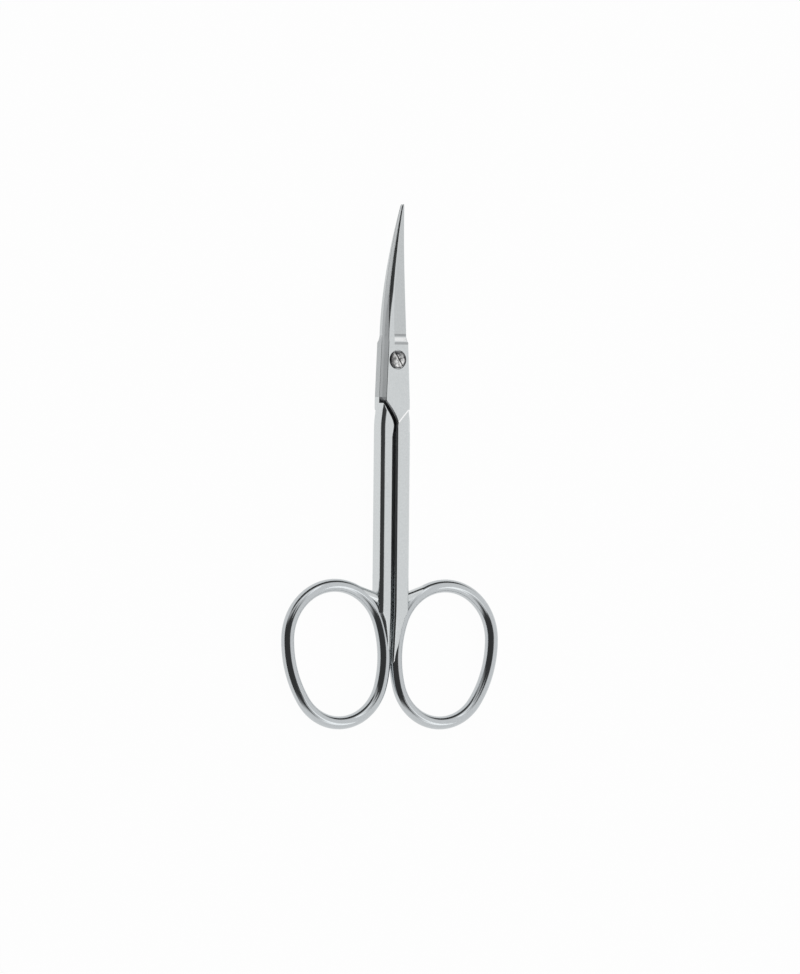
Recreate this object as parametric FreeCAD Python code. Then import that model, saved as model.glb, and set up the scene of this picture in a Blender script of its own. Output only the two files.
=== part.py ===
import FreeCAD, Part
import math
import os

from FreeCAD import Vector

# Cuticle scissors: two plated steel halves with wire finger bows that turn on one slotted screw.
# Millimetres and degrees. The pivot axis is Z, and the origin is where it meets the flat
# underside of the joint. +Y runs to the tips, +X to the bow of the upper half, +Z to the screw head.
# Both halves are drawn in one local frame: Z = 0 is the parting plane, the half lies above it,
# its handle is on the +X side and its cutting edge faces +X. The lower half is turned over about Y.

# Reach from the pivot axis
blade_reach = 27.3
handle_reach = 64.95

# Joint block of each half
block_thickness = 1.85
face_gap = 0.06
heel_width = 5.25
heel_reach = 6.9
heel_angle = 58.0
heel_clearance = 0.6
flat_drop = 0.4
flat_angle = 48.0
block_chamfer = 0.25

# Blade of each half
root_width = 4.35
root_reach = 4.3
choil_length = 1.4
edge_setback = 0.05
root_thickness = 1.7
tip_width = 0.6
tip_thickness = 0.5
taper_power = 1.4
thinning_power = 1.5
bowl_start = 5.0
bowl_radius = 85.0
spine_bevel = 0.42
spine_wall_share = 0.5
root_strip_share = 0.28
tip_strip_share = 0.08
ground_share = 0.75
edge_bevel = 0.15
edge_land = 0.1

# Shank of each half
shank_width = 3.0
shank_thickness = 3.3
shank_corner = 0.8
shank_gap = 0.1
shoulder_length = 5.0
tail_length = 8.4
tail_thickness = 1.8
tail_corner = 0.6
stub_wire = 2.1
stub_angle = 19.0
stub_depth = 1.5

# Finger bow of each half: a round wire bent to an egg with its broad end up
bow_wire = 2.3
bow_hole_width = 16.9
bow_hole_height = 21.9
bow_broad_rise = 0.95
bow_side_radius = 18.1
bow_lean = 9.3
bow_side_steps = 3
bow_end_steps = 8

# Pivot screw
head_diameter = 3.05
head_height = 0.55
head_crown = 0.2
seat_diameter = 3.3
seat_depth = 0.25
seat_clearance = 0.03
slot_width = 0.5
slot_depth = 0.28
slot_angle = 122.0
shank_diameter = 2.2
shank_clearance = 0.03
thread_diameter = 1.8
peen_diameter = 2.4
peen_depth = 0.3

# Values that follow from the sizes above
wire_radius = bow_wire / 2
egg_half_width = bow_hole_width / 2 + wire_radius
egg_side_radius = bow_side_radius + wire_radius
egg_top = bow_hole_height / 2 - bow_broad_rise + wire_radius
egg_foot = bow_hole_height / 2 + bow_broad_rise + wire_radius
egg_side_offset = egg_side_radius - egg_half_width
egg_top_gap = egg_side_radius - egg_top
egg_foot_gap = egg_side_radius - egg_foot
egg_top_offset = (egg_side_offset**2 - egg_top_gap**2) / (2 * egg_top_gap)
egg_foot_offset = (egg_side_offset**2 - egg_foot_gap**2) / (2 * egg_foot_gap)
egg_top_radius = egg_top - egg_top_offset
egg_foot_radius = egg_foot - egg_foot_offset
egg_top_split = math.degrees(math.atan2(egg_top_offset, egg_side_offset))
egg_foot_split = math.degrees(math.atan2(egg_foot_offset, egg_side_offset))
shank_inner = shank_gap / 2
shank_outer = shank_inner + shank_width
choil_start = root_reach - choil_length
over = 1.0

ORIGIN = Vector(0, 0, 0)
Y_AXIS = Vector(0, 1, 0)
Z_AXIS = Vector(0, 0, 1)


def ease(share):
    """Return a smooth step from 0 to 1 as share runs from 0 to 1."""
    share = min(max(share, 0.0), 1.0)
    return share * share * (3 - 2 * share)


def mix(first, last, share):
    """Return the value that lies share of the way from first to last."""
    return first + (last - first) * share


def polar(centre, radius, angle):
    """Return the point at radius and angle round centre, in the XY plane."""
    turn = math.radians(angle)
    return centre + Vector(radius * math.cos(turn), radius * math.sin(turn), 0)


def polygon_face(points):
    """Return the flat face bounded by straight lines through points."""
    return Part.Face(Part.makePolygon(points + points[:1]))


def plan_prism(points, low, high):
    """Return the prism over a plan outline of (x, y) pairs, between two heights."""
    face = polygon_face([Vector(x, y, low) for x, y in points])
    return face.extrude(Z_AXIS * (high - low))


# The bow's place: its inner side touches the line of the shank's inner wall, its foot the handle's reach
lean_turn = math.radians(bow_lean)
inner_reach = egg_side_radius - egg_side_offset * math.cos(lean_turn)
foot_reach = egg_foot_radius + egg_foot_offset * math.cos(lean_turn)
bow_x = shank_inner + wire_radius + inner_reach
bow_y = wire_radius - handle_reach + foot_reach
bow_centre = Vector(bow_x, bow_y, 0)
top_centre = bow_centre + polar(ORIGIN, egg_top_offset, 90 - bow_lean)

side_centre = bow_centre + polar(ORIGIN, egg_side_offset, -bow_lean)
top_arc_end = polar(top_centre, egg_top_radius, 180 - egg_top_split - bow_lean)


def inner_crossing(x):
    """Return the Y where the upper inner side of the bow's centre line crosses x."""
    centre, radius = top_centre, egg_top_radius
    if x < top_arc_end.x:
        centre, radius = side_centre, egg_side_radius
    return centre.y + math.sqrt(radius**2 - (centre.x - x) ** 2)


# The tail starts where the bow's centre line crosses the shank's outer wall
tail_start = inner_crossing(shank_outer)

# The stub: a straight end of the bow's wire that leaves its top arc and runs into the shank
stub_start = polar(top_centre, egg_top_radius, 90 + stub_angle)
stub_way = polar(ORIGIN, -1, stub_angle)
stub_length = (stub_start.x - stub_depth) / -stub_way.x


def bow_path():
    """Return the closed centre line of the bow: two side arcs and two end arcs, leaning outwards."""
    top, foot = egg_top_split, egg_foot_split
    spans = [
        (Vector(-egg_side_offset, 0, 0), egg_side_radius, -foot, top),
        (Vector(0, egg_top_offset, 0), egg_top_radius, top, 180 - top),
        (Vector(egg_side_offset, 0, 0), egg_side_radius, 180 - top, 180 + foot),
        (Vector(0, -egg_foot_offset, 0), egg_foot_radius, 180 + foot, 360 - foot),
    ]
    arcs = []
    for centre, radius, start, end in spans:
        middle = (start + end) / 2
        points = [polar(centre, radius, angle) for angle in (start, middle, end)]
        arcs.append(Part.Arc(*points).toShape())
    path = Part.Wire(arcs)
    path.rotate(ORIGIN, Z_AXIS, -bow_lean)
    path.translate(bow_centre)
    return path


def finger_bow():
    """Return the bow: round wire as ruled lofts through circles along its closed centre line."""
    circles = []
    for edge, steps in zip(bow_path().Edges, [bow_side_steps, bow_end_steps] * 2):
        for step in range(steps):
            at = mix(edge.FirstParameter, edge.LastParameter, step / steps)
            circle = Part.makeCircle(wire_radius, edge.valueAt(at), edge.tangentAt(at))
            circles.append(Part.Wire(circle))
    middle = len(circles) // 2
    runs = [circles[: middle + 1], circles[middle:] + circles[:1]]
    first, last = [Part.makeLoft(run, True, True) for run in runs]
    return first.fuse(last).removeSplitter()


def block_half_width(y):
    """Return half the joint block's width at y: it narrows evenly from the heel to the root."""
    return mix(heel_width, root_width, (y + heel_reach) / (heel_reach + root_reach)) / 2


def blade_half_width(y):
    """Return half the blade's width at y: the block's taper, then a long ogive to the tip."""
    if y <= root_reach:
        return block_half_width(y)
    share = (y - root_reach) / (blade_reach - root_reach)
    return mix(root_width, tip_width, share**taper_power) / 2


def bowl_rise(radius):
    """Return how far the curved inner face has left the parting plane at radius from the pivot."""
    run = max(radius - bowl_start, 0.0)
    return bowl_radius - math.sqrt(bowl_radius**2 - run**2)


def blade_section(y, bend):
    """Return the blade's cross-section at y, from the block's square end to the ground tip."""
    ground = ease((y - choil_start) / choil_length)
    share = max((y - root_reach) / (blade_reach - root_reach), 0.0)
    base = bend * bowl_rise(y)
    spine = blade_half_width(y)
    edge = spine - edge_setback * ground * (1 - share)
    thinned = mix(root_thickness, tip_thickness, share**thinning_power)
    thickness = mix(block_thickness, thinned, ground)
    ridge = min(spine_bevel, tip_width / 3 + spine_bevel * (1 - share)) - spine
    strip = (edge - ridge) * mix(root_strip_share, tip_strip_share, share)
    shoulder = edge - mix(block_chamfer, edge_bevel, ground)
    ground_wall = mix(thickness, thickness * ground_share, ground)
    land = mix(thickness - block_chamfer, edge_land, ground)
    outline = [
        (-spine, -over),
        (-spine, thickness * spine_wall_share),
        (ridge, thickness),
        (ridge + strip, thickness),
        (shoulder, ground_wall),
        (edge, land),
        (edge, -over),
    ]
    points = [Vector(x, y, base + z) for x, z in outline]
    return Part.makePolygon(points + points[:1])


def bowl_tool(bend):
    """Return the solid of all that lies under the curved inner face, turned about the pivot."""
    reach = blade_reach + over
    depth = -bowl_rise(reach) - 2 * over
    inner = face_gap / 2
    middle = (bowl_start + reach) / 2
    flat_end = Vector(bowl_start, 0, inner)
    rim = Vector(reach, 0, inner + bend * bowl_rise(reach))
    arc_middle = Vector(middle, 0, inner + bend * bowl_rise(middle))
    corners = [rim, Vector(reach, 0, depth), Vector(0, 0, depth), Vector(0, 0, inner), flat_end]
    edges = [Part.Arc(flat_end, arc_middle, rim).toShape()]
    edges += Part.makePolygon(corners).Edges
    return Part.Face(Part.Wire(edges)).revolve(ORIGIN, Z_AXIS, 360)


def blade(bend):
    """Return the blade from the end of the joint block to the tip, its inner face on the bowl."""
    choil_steps = 4
    blade_steps = 9
    stations = [choil_start + choil_length * step / choil_steps for step in range(choil_steps)]
    length = blade_reach - root_reach
    stations += [root_reach + length * step / blade_steps for step in range(blade_steps + 1)]
    blank = Part.makeLoft([blade_section(y, bend) for y in stations], True, False)
    return blank.cut(bowl_tool(bend))


def joint_block():
    """Return the flat block round the pivot, with its sloping heel and the slanted end of its flat."""
    heel = heel_width / 2
    heel_end = -heel_reach - (heel + shank_inner) * math.tan(math.radians(heel_angle))
    flat_end = heel_end - flat_drop
    flat_reach = flat_end + (heel - shank_inner) * math.tan(math.radians(flat_angle))
    front = block_half_width(choil_start)
    plan = [
        (-front, choil_start),
        (-heel, -heel_reach),
        (shank_inner, heel_end),
        (shank_inner, flat_end),
        (heel, flat_reach),
        (heel, -heel_reach),
        (front, choil_start),
    ]
    block = plan_prism(plan, face_gap / 2, block_thickness)
    sides = [(1, 2), (3, 4), (4, 5), (5, 6)]
    edges = [top_edge(block, plan[first], plan[last]) for first, last in sides]
    return block.makeChamfer(block_chamfer, edges).cut(spine_tool())


def spine_tool():
    """Return the wedge over the bevel that the blade's spine carries on down the block."""
    drop = block_thickness * (1 - spine_wall_share)
    sections = []
    for y in (-heel_reach - heel_width, choil_start + over):
        side = -block_half_width(y)
        low = Vector(side - spine_bevel, y, block_thickness - 2 * drop)
        high = Vector(side + 2 * spine_bevel, y, block_thickness + drop)
        corner = Vector(low.x, y, high.z)
        sections.append(Part.makePolygon([low, high, corner, low]))
    return Part.makeLoft(sections, True, True)


def top_edge(block, start, end):
    """Return the block's outer edge that runs between two plan points."""
    middle = Vector((start[0] + end[0]) / 2, (start[1] + end[1]) / 2, block_thickness)
    return min(block.Edges, key=lambda edge: edge.CenterOfMass.distanceToPoint(middle))


def shank_section(y):
    """Return the shank's rounded rectangle at y, between its inner and outer walls."""
    outer = mix(heel_width / 2, shank_outer, ease((-heel_reach - y) / shoulder_length))
    tail_share = max((tail_start - y) / tail_length, 0.0)
    thickness = mix(shank_thickness, tail_thickness, tail_share)
    corner = mix(shank_corner, tail_corner, tail_share)
    left = shank_inner + corner
    right = outer - corner
    top = thickness / 2 - corner
    arcs = []
    for x, z, start in [(right, top, 0), (left, top, 90), (left, -top, 180), (right, -top, 270)]:
        turns = [math.radians(start + step) for step in (0, 45, 90)]
        points = [Vector(x + corner * math.cos(t), y, z + corner * math.sin(t)) for t in turns]
        arcs.append(points)
    edges = []
    for index, points in enumerate(arcs):
        edges.append(Part.Arc(*points).toShape())
        edges.append(Part.makeLine(points[-1], arcs[(index + 1) % len(arcs)][0]))
    return Part.Wire(edges)


def shank():
    """Return the shank: its shoulder, straight run and the tail that thins out along the bow."""
    shoulder_end = -heel_reach - shoulder_length
    runs = [
        (-heel_reach, shoulder_end, 4),
        (shoulder_end, tail_start, 1),
        (tail_start, tail_start - tail_length, 1),
    ]
    lofts = []
    for start, end, steps in runs:
        sections = [shank_section(mix(start, end, step / steps)) for step in range(steps + 1)]
        lofts.append(Part.makeLoft(sections, True, False))
    return lofts[0].fuse(lofts[1:]).removeSplitter()


def stub():
    """Return the straight wire end that fills the crotch between the bow and the shank."""
    return Part.makeCylinder(stub_wire / 2, stub_length, stub_start, stub_way)


def shoulder_tool():
    """Return the space below the parting plane that the other half's heel needs at the shank."""
    slope = math.radians(heel_angle)
    heel = Vector(heel_width / 2, -heel_reach, 0)
    away = Vector(math.sin(slope), -math.cos(slope), 0)
    along = Vector(math.cos(slope), math.sin(slope), 0)
    start = heel + away * heel_clearance - along * 2 * heel_reach
    end = heel + away * heel_clearance + along * heel_reach
    plan = [(start.x, start.y), (end.x, end.y), (start.x, end.y)]
    return plan_prism(plan, -shank_thickness, face_gap / 2)


def bow_space():
    """Return the space inside the bow's centre line, which the shank's tail stays clear of."""
    inside = Part.Face(bow_path())
    inside.translate(Z_AXIS * -shank_thickness)
    return inside.extrude(Z_AXIS * 2 * shank_thickness)


def half(bend):
    """Return one half without its pivot hole: the blade, block and shank in one forging."""
    handle = shank().cut(shoulder_tool()).fuse(stub())
    handle = handle.cut(bow_space()).cut(finger_bow())
    handle = max(handle.Solids, key=lambda solid: solid.Volume)
    return joint_block().fuse([blade(bend), handle]).removeSplitter()


def upper_half():
    """Return the half under the screw head, with a running hole and a seat for the head."""
    hole = Part.makeCylinder(shank_diameter / 2 + shank_clearance, 2 * block_thickness)
    seat_floor = Vector(0, 0, block_thickness - seat_depth)
    seat = Part.makeCylinder(seat_diameter / 2, seat_depth + over, seat_floor)
    return half(1).cut(hole).cut(seat)


def lower_half():
    """Return the half that holds the screw, with a tapped hole and a countersink for its end."""
    hole = Part.makeCylinder(thread_diameter / 2, 2 * block_thickness)
    sink_floor = Vector(0, 0, block_thickness - peen_depth)
    sink = Part.makeCone(thread_diameter / 2, peen_diameter / 2, peen_depth, sink_floor)
    return half(-1).cut(hole).cut(sink)


def pivot_screw():
    """Return the screw: slotted head, plain shank, thread and an end peened into the countersink."""
    shoulder = -face_gap / 2
    seat = block_thickness - seat_depth + seat_clearance
    rim = seat + head_height - head_crown
    end = -block_thickness
    profile = [
        (0, end),
        (peen_diameter / 2, end),
        (thread_diameter / 2, end + peen_depth),
        (thread_diameter / 2, shoulder),
        (shank_diameter / 2, shoulder),
        (shank_diameter / 2, seat),
        (head_diameter / 2, seat),
        (head_diameter / 2, rim),
    ]
    corners = [Vector(radius, 0, height) for radius, height in profile]
    crown = Vector(0, 0, rim + head_crown)
    crown_radius = (head_diameter**2 / 4 + head_crown**2) / (2 * head_crown)
    crown_middle = Vector(0, 0, crown.z - crown_radius) + Vector(
        head_diameter / 4, 0, math.sqrt(crown_radius**2 - head_diameter**2 / 16)
    )
    edges = Part.makePolygon(corners).Edges
    edges.append(Part.Arc(corners[-1], crown_middle, crown).toShape())
    edges.append(Part.makeLine(crown, corners[0]))
    screw = Part.Face(Part.Wire(edges)).revolve(ORIGIN, Z_AXIS, 360)
    slot_corner = Vector(-head_diameter, -slot_width / 2, crown.z - slot_depth)
    slot = Part.makeBox(2 * head_diameter, slot_width, slot_depth + over, slot_corner)
    slot.rotate(ORIGIN, Z_AXIS, slot_angle)
    return screw.cut(slot)


def as_upper(shape):
    """Return a shape of the local frame raised to the upper half's place."""
    shape.translate(Z_AXIS * block_thickness)
    return shape


def as_lower(shape):
    """Return a shape of the local frame turned over and raised to the lower half's place."""
    shape.rotate(ORIGIN, Y_AXIS, 180)
    return as_upper(shape)


os.makedirs("parts", exist_ok=True)
nodes = {
    "upper_blade": as_upper(upper_half()),
    "right_finger_bow": as_upper(finger_bow()),
    "lower_blade": as_lower(lower_half()),
    "left_finger_bow": as_lower(finger_bow()),
    "pivot_screw": as_upper(pivot_screw()),
}
for node, shape in nodes.items():
    shape.exportStep("parts/" + node + ".step")
    print(node, len(shape.Solids), "solid", round(shape.Volume, 3), "mm3", shape.isValid())
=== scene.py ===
import logging
import math
from dataclasses import dataclass
from enum import Enum
from typing import NamedTuple

import bmesh
import bpy
from mathutils import Matrix, Vector


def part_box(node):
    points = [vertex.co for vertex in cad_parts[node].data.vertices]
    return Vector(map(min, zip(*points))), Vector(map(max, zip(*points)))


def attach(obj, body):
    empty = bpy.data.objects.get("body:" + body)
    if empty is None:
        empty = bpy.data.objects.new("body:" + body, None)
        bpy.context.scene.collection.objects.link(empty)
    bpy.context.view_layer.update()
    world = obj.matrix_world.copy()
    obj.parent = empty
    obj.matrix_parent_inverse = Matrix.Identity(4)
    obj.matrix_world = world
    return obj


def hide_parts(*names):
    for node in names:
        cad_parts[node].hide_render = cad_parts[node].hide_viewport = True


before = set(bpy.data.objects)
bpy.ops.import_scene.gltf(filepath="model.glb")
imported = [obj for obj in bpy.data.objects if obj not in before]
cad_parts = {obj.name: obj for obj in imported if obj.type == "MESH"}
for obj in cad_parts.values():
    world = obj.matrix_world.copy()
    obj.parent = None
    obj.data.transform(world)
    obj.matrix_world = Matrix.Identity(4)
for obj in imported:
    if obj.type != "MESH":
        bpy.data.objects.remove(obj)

# The pieces' own lengths are millimetres, scaled by MM when a mesh is made. Finishes and the studio
# are in metres, apart from the lens, the sensor and the size of a photo pixel.
MM = 0.001

# Below this length in millimetres a rounding is left out, and from this half angle a corner is straight.
LEAST_LENGTH = 1e-6
STRAIGHT_HALF_ANGLE = 1.56
# Points of a loft that lie closer than this, in metres, are one.
MERGE_DISTANCE = 2e-7
# A cutting tool stands out this far, in millimetres, past what it cuts.
TOOL_REACH = 1

Tone = tuple[float, float, float, float]
Socket = bpy.types.NodeSocket
Tree = bpy.types.NodeTree
Entry = Socket | float | tuple[float, ...] | Vector

log = logging.getLogger("cuticle_scissors")


class Side(Enum):
    """The two halves of the scissors, each with its body, CAD nodes and bow."""

    UPPER = ("upper_half", "upper_blade", "right_finger_bow", 1)
    LOWER = ("lower_half", "lower_blade", "left_finger_bow", -1)

    @property
    def body(self) -> str:
        """Return the body that the half's pieces ride on."""
        return self.value[0]

    @property
    def blade_node(self) -> str:
        """Return the CAD node of the half's blade, block and shank."""
        return self.value[1]

    @property
    def bow_node(self) -> str:
        """Return the CAD node of the half's finger bow."""
        return self.value[2]

    @property
    def bend(self) -> int:
        """Return 1 for a blade that bends off the parting plane, and -1 for one that bends over it."""
        return self.value[3]


class Corner(NamedTuple):
    """A corner of a cross-section, with the radius that rounds it."""

    x: float
    z: float
    radius: float = 0.0


def ease(share: float) -> float:
    """Return a smooth step from 0 to 1.

    Args:
        share: Position, where values outside 0 to 1 are held at the ends.

    Returns:
        The eased position.
    """
    held = min(max(share, 0.0), 1.0)
    return held * held * (3 - 2 * held)


def faded(value: float, start: float, full: float) -> float:
    """Return 0 up to start, 1 from full on, and a smooth step between."""
    return ease((value - start) / (full - start))


def mix(first: float, last: float, share: float) -> float:
    """Return the value that lies share of the way from first to last."""
    return first + (last - first) * share


def soft_max(first: float, last: float, blend: float) -> float:
    """Return the larger of two values, rounded where they cross.

    Args:
        first: One value.
        last: The other value.
        blend: How far apart the values are where the rounding ends.

    Returns:
        The rounded maximum.
    """
    share = max(blend - abs(first - last), 0.0) / blend
    return max(first, last) + share * share * blend / 4


def even_steps(start: float, end: float, pitch: float) -> list[float]:
    """Return values from start up to but without end, about pitch apart."""
    count = max(round(abs(end - start) / pitch), 1)
    return [mix(start, end, step / count) for step in range(count)]


def linked(name: str, data: bpy.types.ID) -> bpy.types.Object:
    """Return a new object of the scene.

    Args:
        name: Name of the object.
        data: The mesh, curve, lamp or camera that it holds.

    Returns:
        The new object.
    """
    item = bpy.data.objects.new(name, data)
    bpy.context.scene.collection.objects.link(item)
    return item


def plain_mesh(source: bpy.types.Object) -> bpy.types.Mesh:
    """Return the evaluated shape of an object as a mesh of its own.

    Args:
        source: The object, which is removed.

    Returns:
        The new mesh.
    """
    graph = bpy.context.evaluated_depsgraph_get()
    mesh = bpy.data.meshes.new_from_object(source.evaluated_get(graph))
    bpy.data.objects.remove(source)
    return mesh


def mesh_from(name: str, shape: bmesh.types.BMesh) -> bpy.types.Mesh:
    """Return a mesh made from an editable shape, with its faces outward.

    Args:
        name: Name of the mesh.
        shape: The editable shape, which is freed.

    Returns:
        The new mesh.
    """
    bmesh.ops.recalc_face_normals(shape, faces=shape.faces)
    mesh = bpy.data.meshes.new(name)
    shape.to_mesh(mesh)
    shape.free()
    return mesh


def combined(first: bpy.types.Mesh, other: bpy.types.Mesh, operation: str) -> bpy.types.Mesh:
    """Return the mesh of a boolean operation.

    Args:
        first: The mesh that is worked on.
        other: The mesh that is added or taken away.
        operation: UNION or DIFFERENCE.

    Returns:
        The new mesh.
    """
    target = linked("target", first)
    tool = linked("tool", other)
    step = target.modifiers.new("step", "BOOLEAN")
    step.operation = operation
    step.solver = "EXACT"
    step.object = tool
    bpy.context.view_layer.update()
    mesh = plain_mesh(target)
    bpy.data.objects.remove(tool)
    return mesh


def smooth_shaded(mesh: bpy.types.Mesh, crease: float) -> None:
    """Shade a mesh smooth, with hard edges where it turns sharply.

    Args:
        mesh: The mesh to shade.
        crease: Angle in degrees from which an edge stays hard.
    """
    shape = bmesh.new()
    shape.from_mesh(mesh)
    for face in shape.faces:
        face.smooth = True
    for edge in shape.edges:
        turn = edge.calc_face_angle(0.0)
        edge.smooth = turn < math.radians(crease)
    shape.to_mesh(mesh)
    shape.free()


def dressed(
    name: str, mesh: bpy.types.Mesh, place: Matrix, crease: float, finish: bpy.types.Material
) -> bpy.types.Object:
    """Return a piece made of a mesh, in its place and with its finish.

    Args:
        name: Name of the piece and its mesh.
        mesh: The mesh in the piece's local frame.
        place: The local frame's place in the scene.
        crease: Angle in degrees from which an edge stays hard.
        finish: The piece's material.

    Returns:
        The new object, at the origin, with its place in its mesh.
    """
    mesh.transform(place)
    smooth_shaded(mesh, crease)
    mesh.materials.clear()
    mesh.materials.append(finish)
    mesh.name = name
    return linked(name, mesh)


def add_node(tree: Tree, kind: str, inputs: dict[str | int, Entry], **settings: str) -> bpy.types.Node:
    """Return a new node of a tree.

    Args:
        tree: The node tree.
        kind: Type of the node.
        inputs: Sockets to link and values to set, by the name or number of the input.
        settings: Properties of the node, which are set before its inputs.

    Returns:
        The new node.
    """
    node = tree.nodes.new(kind)
    for name, setting in settings.items():
        setattr(node, name, setting)
    for entry, value in inputs.items():
        if isinstance(value, Socket):
            tree.links.new(value, node.inputs[entry])
        else:
            node.inputs[entry].default_value = value
    return node


def calculated(tree: Tree, operation: str, *values: Socket | float) -> Socket:
    """Return the result of a math node on sockets and numbers."""
    node = add_node(tree, "ShaderNodeMath", dict(enumerate(values)), operation=operation)
    return node.outputs["Value"]


def turned_mesh(name: str, profile: list[tuple[float, float]], sides: int) -> bpy.types.Mesh:
    """Return a solid turned about the Z axis.

    Args:
        name: Name of the mesh.
        profile: Pairs of radius and height, whose first and last lie on the axis.
        sides: Number of sides round the axis.

    Returns:
        The closed mesh in metres.
    """
    shape = bmesh.new()
    rings = []
    for radius, height in profile[1:-1]:
        ring = []
        for side in range(sides):
            turn = 2 * math.pi * side / sides
            ring.append(shape.verts.new((radius * math.cos(turn), radius * math.sin(turn), height)))
        rings.append(ring)
    for ring, after in zip(rings, rings[1:]):
        for side in range(sides):
            other = (side + 1) % sides
            shape.faces.new((ring[side], ring[other], after[other], after[side]))
    for ring, height in ((rings[0], profile[0][1]), (rings[-1], profile[-1][1])):
        pole = shape.verts.new((0, 0, height))
        for side in range(sides):
            shape.faces.new((ring[side], ring[(side + 1) % sides], pole))
    bmesh.ops.scale(shape, vec=(MM, MM, MM), verts=shape.verts)
    return mesh_from(name, shape)


def outline(corners: list[Corner], steps: int, guard: float) -> list[tuple[float, float]]:
    """Return a cross-section with rounded corners and a fixed number of points.

    Args:
        corners: The corners in order round the section.
        steps: Straight steps in each rounding.
        guard: Length beside each rounding that keeps the flat beyond it flat when shaded.

    Returns:
        Points as (x, z) pairs, with steps + 3 for each corner.
    """
    count = len(corners)
    places = [Vector((corner.x, corner.z)) for corner in corners]
    spans = [places[(index + 1) % count] - places[index] for index in range(count)]
    lengths = [span.length for span in spans]

    # How far each rounding reaches along its two sides
    halves = []
    reaches = []
    for index, corner in enumerate(corners):
        before = -spans[index - 1]
        after = spans[index]
        if corner.radius <= 0 or min(before.length, after.length) < LEAST_LENGTH:
            halves.append(math.pi / 2)
            reaches.append(0.0)
            continue
        half = before.angle(after) / 2
        halves.append(half)
        reaches.append(corner.radius / math.tan(half) if half < STRAIGHT_HALF_ANGLE else 0.0)

    # Neighbours are held back where their side is too short for both
    fits = []
    for index, length in enumerate(lengths):
        wanted = reaches[index] + reaches[(index + 1) % count]
        fits.append(min(1.0, length / wanted) if wanted > 0 else 1.0)
    held = [reach * min(fits[index - 1], fits[index]) for index, reach in enumerate(reaches)]

    points = []
    for index, place in enumerate(places):
        reach = held[index]
        if reach < LEAST_LENGTH:
            points += [place] * (steps + 3)
            continue
        before = -spans[index - 1].normalized()
        after = spans[index].normalized()
        radius = reach * math.tan(halves[index])
        centre = place + (before + after).normalized() * (radius / math.sin(halves[index]))
        start = place + before * reach - centre
        end = place + after * reach - centre
        sweep = start.angle_signed(end)
        arc = []
        for step in range(steps + 1):
            turn = -sweep * step / steps
            arc.append(centre + Matrix.Rotation(turn, 2) @ start)
        room_before = lengths[index - 1] - reach - held[index - 1]
        room_after = lengths[index] - reach - held[(index + 1) % count]
        points.append(arc[0] + before * min(guard, room_before / 3))
        points += arc
        points.append(arc[-1] + after * min(guard, room_after / 3))
    return [(point.x, point.y) for point in points]


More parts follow.
